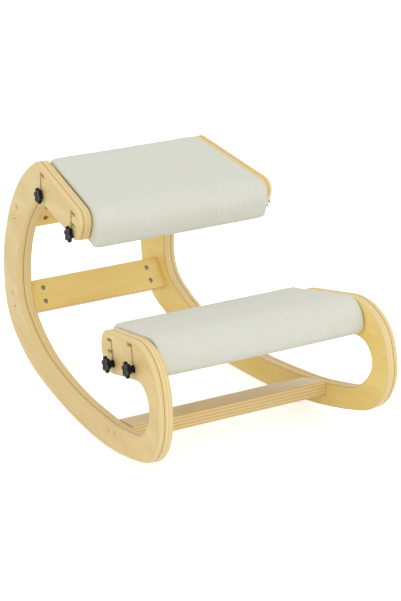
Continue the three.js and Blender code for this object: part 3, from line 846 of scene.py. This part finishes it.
class CHAIR_OT_cushions(bpy.types.Operator):
    """Make the two cushions: foam that fills a tight woven cover"""

    bl_idname = "kneeling_chair.cushions"
    bl_label = "Cushions"

    def execute(self, context):
        cover = context.scene.chair_cover
        linen = woven_linen()
        for pad in PADS:
            node = f"{pad}_cushion"
            boards = [f"{pad}_end_board_{side}" for side in SIDES]
            form = self.even_grid(pad, context)
            hull = self.hull_of(merged_copy(node))
            skin = BVHTree.FromBMesh(hull)
            hull.free()
            rest = [v.co.copy() for v in form.data.vertices]
            depths = [skin.find_nearest(spot)[3] for spot in rest]
            self.inflate(form, depths, context)
            self.hold_back(form, rest, depths, pad, cover)
            bm = bmesh.new()
            bm.from_mesh(form.data)
            bpy.data.objects.remove(form)
            for _ in range(CLOTH_SMOOTHINGS):
                bmesh.ops.smooth_vert(
                    bm, verts=bm.verts, factor=0.5, use_axis_x=True, use_axis_y=False,
                    use_axis_z=True,
                )
            lower(bm, bm.verts, getattr(cover, f"{pad}_sag"))
            self.fit_ends(bm, pad, cover)
            self.lay_cloth(bm, pad)
            piece = make_piece(
                f"{node}_cover", bm, [linen], f"{pad}_pad", [node, *boards],
                sharp_angle=75,
            )
            smooth = piece.modifiers.new("fine_grid", "SUBSURF")
            smooth.levels = 1
            smooth.render_levels = 1
        return {"FINISHED"}

    def even_grid(self, pad, context):
        """The form of a cushion and its end boards in faces of one size, which cloth needs."""
        bm = merged_copy(f"{pad}_cushion")
        for side in SIDES:
            board = self.end_board(pad, side)
            bm.from_mesh(board)
            bpy.data.meshes.remove(board)
        mesh = bpy.data.meshes.new(f"{pad}_form")
        bm.to_mesh(mesh)
        bm.free()
        form = bpy.data.objects.new(f"{pad}_form", mesh)
        context.scene.collection.objects.link(form)
        remesh = form.modifiers.new("grid", "REMESH")
        remesh.mode = "VOXEL"
        remesh.voxel_size = context.scene.chair_cover.voxel
        self.apply_modifiers(form, context)
        return form

    def apply_modifiers(self, form, context):
        """Gives a form the mesh that its modifiers make of it."""
        view = context.evaluated_depsgraph_get()
        mesh = bpy.data.meshes.new_from_object(form.evaluated_get(view))
        form.modifiers.clear()
        form.data = mesh

    def end_board(self, pad, side):
        """An end board without its holes, grown a little way into the foam, so that one cover is
        drawn over both."""
        node = f"{pad}_end_board_{side}"
        board = merged_copy(node)
        low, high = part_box(node)
        middle = (low + high) / 2
        ahead, up = pad_directions(pad)
        out = outward(side)
        for vertex in board.verts:
            spot = vertex.co - middle
            vertex.co += math.copysign(BOARD_GROWTH, spot.dot(ahead)) * ahead
            if spot.dot(up) > 0:
                vertex.co += BOARD_GROWTH * up
            if spot.dot(out) < 0:
                vertex.co -= BOARD_GROWTH * out
        hull = self.hull_of(board)
        mesh = bpy.data.meshes.new(f"{node}_form")
        hull.to_mesh(mesh)
        hull.free()
        return mesh

    def hull_of(self, bm):
        """The outer surface of a shape, without its hollows and holes. Frees the shape."""
        hull = bmesh.new()
        for vertex in bm.verts:
            hull.verts.new(vertex.co)
        bm.free()
        bmesh.ops.convex_hull(hull, input=hull.verts)
        loose = [v for v in hull.verts if not v.link_faces]
        bmesh.ops.delete(hull, geom=loose, context="VERTS")
        bmesh.ops.recalc_face_normals(hull, faces=hull.faces)
        return hull

    def inflate(self, form, depths, context):
        """Lets the foam's pressure push the cover out, while the hollow for the boards stays."""
        pins = form.vertex_groups.new(name="boards")
        deep = [i for i, depth in enumerate(depths) if depth > SKIN_DEPTH]
        pins.add(deep, 1.0, "REPLACE")
        cloth = form.modifiers.new("cover", "CLOTH")
        cloth.settings.quality = 5
        cloth.settings.mass = 0.3
        cloth.settings.use_pressure = True
        cloth.settings.uniform_pressure_force = 4
        cloth.settings.vertex_group_mass = "boards"
        cloth.settings.effector_weights.gravity = 0
        cloth.collision_settings.use_collision = False
        cloth.point_cache.frame_start = 1
        cloth.point_cache.frame_end = CLOTH_STEPS
        for step in range(1, CLOTH_STEPS + 1):
            context.scene.frame_set(step)
        self.apply_modifiers(form, context)
        context.scene.frame_set(1)

    def hold_back(self, form, rest, depths, pad, cover):
        """Holds each point within the swell of its resting place, evens the swelling out as a
        taut cover does, and adds a slight unevenness."""
        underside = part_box(f"{pad}_cushion")[0].z
        moves = []
        for vertex, start, depth in zip(form.data.vertices, rest, depths):
            move = vertex.co - start
            height = min(1, max(0, (start.z - underside - SWELL_START) / SWELL_RISE))
            share = height * height * (3 - 2 * height) if depth < SKIN_DEPTH else 0
            if move.length > cover.swell:
                move *= cover.swell / move.length
            ripple = sum(strength * noise.noise(start * count) for strength, count in RIPPLES)
            moves.append((move + vertex.normal * (ripple * cover.wrinkle)) * share)
        near = [[] for _ in rest]
        for edge in form.data.edges:
            one, other = edge.vertices
            near[one].append(other)
            near[other].append(one)
        for _ in range(SWELL_SMOOTHINGS):
            moves = [
                (move + sum((moves[k] for k in around), Vector())) / (1 + len(around))
                for move, around in zip(moves, near)
            ]
        for vertex, start, move in zip(form.data.vertices, rest, moves):
            vertex.co = start + move

    def fit_ends(self, bm, pad, cover):
        """Draws the ends out flat. The frame narrows towards the back, where the slots lead, so
        the ends stay clear of it by as much as it closes in, and by the end gap at the top."""
        slide = next(joint for joint in frame["joints"] if joint["name"] == f"{pad}_height")
        travel = slide["range_m"][1] * Vector(slide["axis"]).normalized()
        for side in SIDES:
            out = outward(side)
            limit = -reach(f"{side}_inner_layer", -out) - cover.end_gap - travel.dot(out)
            for vertex in bm.verts:
                nearness = max(0, 1 - (limit - vertex.co.dot(out)) / END_BAND)
                vertex.co += cover.end_draw * nearness**2 * out
                past = vertex.co.dot(out) - limit
                if past > 0:
                    vertex.co -= past * out

    def lay_cloth(self, bm, pad):
        """Lays the cloth's threads across the chair and round the cushion, in metres."""
        layer = bm.loops.layers.uv.new("cloth")
        low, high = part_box(f"{pad}_cushion")
        middle = (low + high) / 2
        ahead, up = pad_directions(pad)
        angles, lengths = self.girth(bm, middle, ahead, up)
        for face in bm.faces:
            at_end = abs(face.normal.y) > 0.8
            for loop in face.loops:
                spot = loop.vert.co - middle
                along = spot.dot(ahead)
                height = spot.dot(up)
                if at_end:
                    loop[layer].uv = (along, height)
                    continue
                angle = math.atan2(height, along)
                index = min(range(len(angles)), key=lambda k: abs(angles[k] - angle))
                step = 1 if angle > angles[index] else -1
                other = min(len(angles) - 1, max(0, index + step))
                gap = angles[other] - angles[index]
                share = (angle - angles[index]) / gap if other != index else 0
                length = lengths[index] + share * (lengths[other] - lengths[index])
                loop[layer].uv = (spot.y, length)

    def girth(self, bm, middle, ahead, up):
        """Directions from the middle of a cushion to its outline, in radians, and the length of
        the outline up to each."""
        section = sorted(
            (math.atan2((v.co - middle).dot(up), (v.co - middle).dot(ahead)), v.co.copy())
            for v in bm.verts
            if abs(v.co.y) < SECTION_HALF_WIDTH and (v.co - middle).length > SECTION_CORE
        )
        angles = []
        lengths = []
        for angle, spot in section:
            flat = Vector((spot.x, 0, spot.z))
            if not angles:
                lengths.append(0)
            elif angle - angles[-1] < SECTION_STEP:
                continue
            else:
                lengths.append(lengths[-1] + (flat - last).length)
            angles.append(angle)
            last = flat
        return angles, lengths


class CHAIR_OT_knobs(bpy.types.Operator):
    """Make the star knobs with their bosses and threaded studs"""

    bl_idname = "kneeling_chair.knobs"
    bl_label = "Star knobs"

    def execute(self, context):
        fittings = context.scene.chair_fittings
        plastic = moulded_plastic()
        steel = plated_steel("stud_zinc_steel", fittings.zinc_colour, 0.35)
        for stem, joint, centre, axis in clamps():
            node = f"{stem}_knob"
            base = axis.dot(centre)
            top = reach(node, axis) - base
            tip = -reach(node, -axis) - base
            boss_end = reach(f"{stem}_washer", axis) - base + BOSS_GAP
            bm = bmesh.new()
            self.head(bm, fittings, top, boss_end)
            self.stud(bm, fittings, tip, boss_end + STUD_COVERED)
            bmesh.ops.recalc_face_normals(bm, faces=bm.faces)
            stand_on(bm, centre, axis)
            make_piece(
                f"{node}_star", bm, [plastic, steel], joint["child"], [node],
                sharp_angle=38,
            )
        return {"FINISHED"}

    def head(self, bm, fittings, top, boss_end):
        """A lobed head with rounded rims and a dished cap, on a tapered boss."""
        radius, height = fittings.knob_radius, fittings.knob_height
        rim = bmesh.ops.create_circle(bm, cap_ends=True, segments=72, radius=radius)["verts"]
        for vertex in rim:
            angle = math.atan2(vertex.co.y, vertex.co.x)
            hollow = ((1 - math.cos(KNOB_LOBES * angle)) / 2) ** KNOB_LOBE_SHARPNESS
            vertex.co *= 1 - fittings.lobe_depth / radius * hollow
        lower(bm, rim, height - top)
        raised = bmesh.ops.extrude_face_region(bm, geom=bm.faces[:])["geom"]
        lower(bm, verts_of(raised), -height)
        bmesh.ops.recalc_face_normals(bm, faces=bm.faces)
        round_edges(bm, corner_edges(bm), KNOB_ROUNDING, 4, limited=True)
        cap = [f for f in bm.faces if len(f.verts) > 20 and f.normal.z > 0.9]
        for width, depth in ((KNOB_CAP_RIM, 0), (KNOB_DISH_SLOPE, -KNOB_DISH_DEPTH)):
            bmesh.ops.inset_region(
                bm, faces=cap, thickness=width, depth=depth, use_even_offset=True
            )
        boss = fittings.boss_radius
        add_rod(bm, 36, boss, boss_end, top - height / 2, boss * BOSS_FLARE)

    def stud(self, bm, fittings, tip, start):
        """A stud with a real thread, from inside the boss to its tip."""
        before = set(bm.faces)
        pitch = fittings.pitch
        crest = fittings.stud_radius
        root = crest - THREAD_DEPTH * pitch
        spots = [(root, tip), (crest, tip + pitch / 2), (root, tip + pitch)]
        verts = [bm.verts.new((radius, 0, height)) for radius, height in spots]
        edges = [bm.edges.new(pair) for pair in zip(verts, verts[1:])]
        turns = int((start - tip) / pitch) - 1
        bmesh.ops.spin(
            bm, geom=verts + edges, cent=(0, 0, 0), axis=(0, 0, 1),
            dvec=(0, 0, pitch / THREAD_STEPS), angle=2 * math.pi * turns,
            steps=THREAD_STEPS * turns, use_merge=False,
        )
        add_rod(bm, 16, root, tip, start)
        added = [f for f in bm.faces if f not in before]
        doubled = list({v for f in added for v in f.verts})
        bmesh.ops.remove_doubles(bm, verts=doubled, dist=0.01 * MM)
        for face in bm.faces:
            if face not in before:
                face.material_index = 1


class CHAIR_OT_washers(bpy.types.Operator):
    """Make the blackened washers under the knobs"""

    bl_idname = "kneeling_chair.washers"
    bl_label = "Washers"

    def execute(self, context):
        steel = plated_steel("blackened_steel", context.scene.chair_fittings.black_colour, 0.45)
        for stem, joint, centre, axis in clamps():
            node = f"{stem}_washer"
            top = reach(node, axis) - axis.dot(centre)
            bm = bmesh.new()
            rim = bmesh.ops.create_circle(bm, segments=40, radius=WASHER_RADIUS)["verts"]
            bore = bmesh.ops.create_circle(bm, segments=40, radius=WASHER_BORE)["verts"]
            bmesh.ops.bridge_loops(bm, edges=list({e for v in rim + bore for e in v.link_edges}))
            bmesh.ops.solidify(bm, geom=bm.faces[:], thickness=extent(node, axis))
            bmesh.ops.recalc_face_normals(bm, faces=bm.faces)
            round_edges(bm, corner_edges(bm), WASHER_ROUNDING, 2)
            lower(bm, bm.verts, max(v.co.z for v in bm.verts) - top)
            stand_on(bm, centre, axis)
            make_piece(
                f"{node}_steel", bm, [steel], joint["parent"], [node],
                sharp_angle=35,
            )
        return {"FINISHED"}


class CHAIR_OT_stage(bpy.types.Operator):
    """Make the floor, the lights and the camera"""

    bl_idname = "kneeling_chair.stage"
    bl_label = "Floor, lights and camera"

    def execute(self, context):
        stage = context.scene.chair_stage
        self.floor(context, stage)
        for name, (place, width) in LIGHTS.items():
            self.light(context, f"{name}_light", getattr(stage, f"{name}_power"), place, width)
        self.world(context, stage)
        self.camera(context)
        context.scene.view_settings.view_transform = "Standard"
        return {"FINISHED"}

    def shown_directly(self, tree):
        """1 where the eye or a mirror image sees a surface, 0 where it only lights others."""
        path = add_node(tree, "ShaderNodeLightPath").outputs
        seen = calculated(tree, "MAXIMUM", path["Is Camera Ray"], path["Is Glossy Ray"])
        return calculated(tree, "MAXIMUM", seen, path["Is Transmission Ray"])

    def floor(self, context, stage):
        """A matt floor with a glow of its own, so that it comes out nearly white."""
        bm = bmesh.new()
        bmesh.ops.create_grid(bm, x_segments=1, y_segments=1, size=FLOOR_HALF_WIDTH)
        mesh = bpy.data.meshes.new("floor")
        bm.to_mesh(mesh)
        bm.free()
        material, tree = new_material("matt_paper_floor")
        matt = add_node(tree, "ShaderNodeBsdfDiffuse", {"Color": opaque(stage.floor_colour)})
        strength = calculated(tree, "MULTIPLY", self.shown_directly(tree), FLOOR_GLOW)
        glow = add_node(tree, "ShaderNodeEmission", {"Color": (1, 1, 1, 1), "Strength": strength})
        both = add_node(tree, "ShaderNodeAddShader", {0: matt.outputs[0], 1: glow.outputs[0]})
        add_node(tree, "ShaderNodeOutputMaterial", {"Surface": both.outputs[0]})
        mesh.materials.append(material)
        floor = bpy.data.objects.new("floor", mesh)
        context.scene.collection.objects.link(floor)

    def light(self, context, name, power, place, width):
        """A round soft light that points at the chair."""
        lamp = bpy.data.lights.new(name, "AREA")
        lamp.energy = power
        lamp.shape = "DISK"
        lamp.size = width
        light = bpy.data.objects.new(name, lamp)
        light.location = place
        aim = Vector(LIGHT_AIM) - Vector(place)
        light.rotation_euler = aim.to_track_quat("-Z", "Y").to_euler()
        context.scene.collection.objects.link(light)

    def world(self, context, stage):
        """An even sky, white to the eye and dimmer as a light."""
        world = bpy.data.worlds.new("studio")
        world.use_nodes = True
        tree = world.node_tree
        tree.nodes.clear()
        level = remapped(tree, self.shown_directly(tree), target=(stage.sky, 1.0))
        sky = add_node(tree, "ShaderNodeBackground", {"Color": (1, 1, 1, 1), "Strength": level})
        add_node(tree, "ShaderNodeOutputWorld", {"Surface": sky.outputs[0]})
        context.scene.world = world

    def camera(self, context):
        data = bpy.data.cameras.new("camera")
        data.lens = CAMERA_LENS
        data.sensor_width = 36
        data.clip_start = 0.1
        data.clip_end = 60
        camera = bpy.data.objects.new("camera", data)
        right = Vector(CAMERA_RIGHT).normalized()
        up = Vector(CAMERA_UP).normalized()
        turn = Matrix((right, up, right.cross(up))).transposed()
        camera.matrix_world = Matrix.Translation(CAMERA_PLACE) @ turn.to_4x4()
        context.scene.collection.objects.link(camera)
        context.scene.camera = camera


class CHAIR_PT_parts(bpy.types.Panel):
    """Lists the steps that make the chair, and its settings."""

    bl_label = "Kneeling chair"
    bl_idname = "CHAIR_PT_parts"
    bl_space_type = "VIEW_3D"
    bl_region_type = "UI"
    bl_category = "Kneeling chair"

    def draw(self, context):
        for step in STEPS:
            self.layout.operator(step.bl_idname)
        for name in SETTINGS:
            group = getattr(context.scene, name)
            box = self.layout.box()
            for key in group.__annotations__:
                box.prop(group, key)


SETTINGS = {
    "chair_wood": WoodSettings,
    "chair_cover": CoverSettings,
    "chair_fittings": FittingSettings,
    "chair_stage": StageSettings,
}
STEPS = (
    CHAIR_OT_side_layers,
    CHAIR_OT_rails,
    CHAIR_OT_bolts,
    CHAIR_OT_nuts,
    CHAIR_OT_boards,
    CHAIR_OT_cushions,
    CHAIR_OT_knobs,
    CHAIR_OT_washers,
    CHAIR_OT_stage,
)


def register():
    for kind in (*SETTINGS.values(), *STEPS, CHAIR_PT_parts):
        bpy.utils.register_class(kind)
    for name, kind in SETTINGS.items():
        setattr(bpy.types.Scene, name, bpy.props.PointerProperty(type=kind))


def unregister():
    for name in SETTINGS:
        delattr(bpy.types.Scene, name)
    for kind in (CHAIR_PT_parts, *reversed(STEPS), *SETTINGS.values()):
        bpy.utils.unregister_class(kind)


def main():
    register()
    for step in STEPS:
        group, name = step.bl_idname.split(".")
        getattr(getattr(bpy.ops, group), name)()


if __name__ == "__main__":
    main()
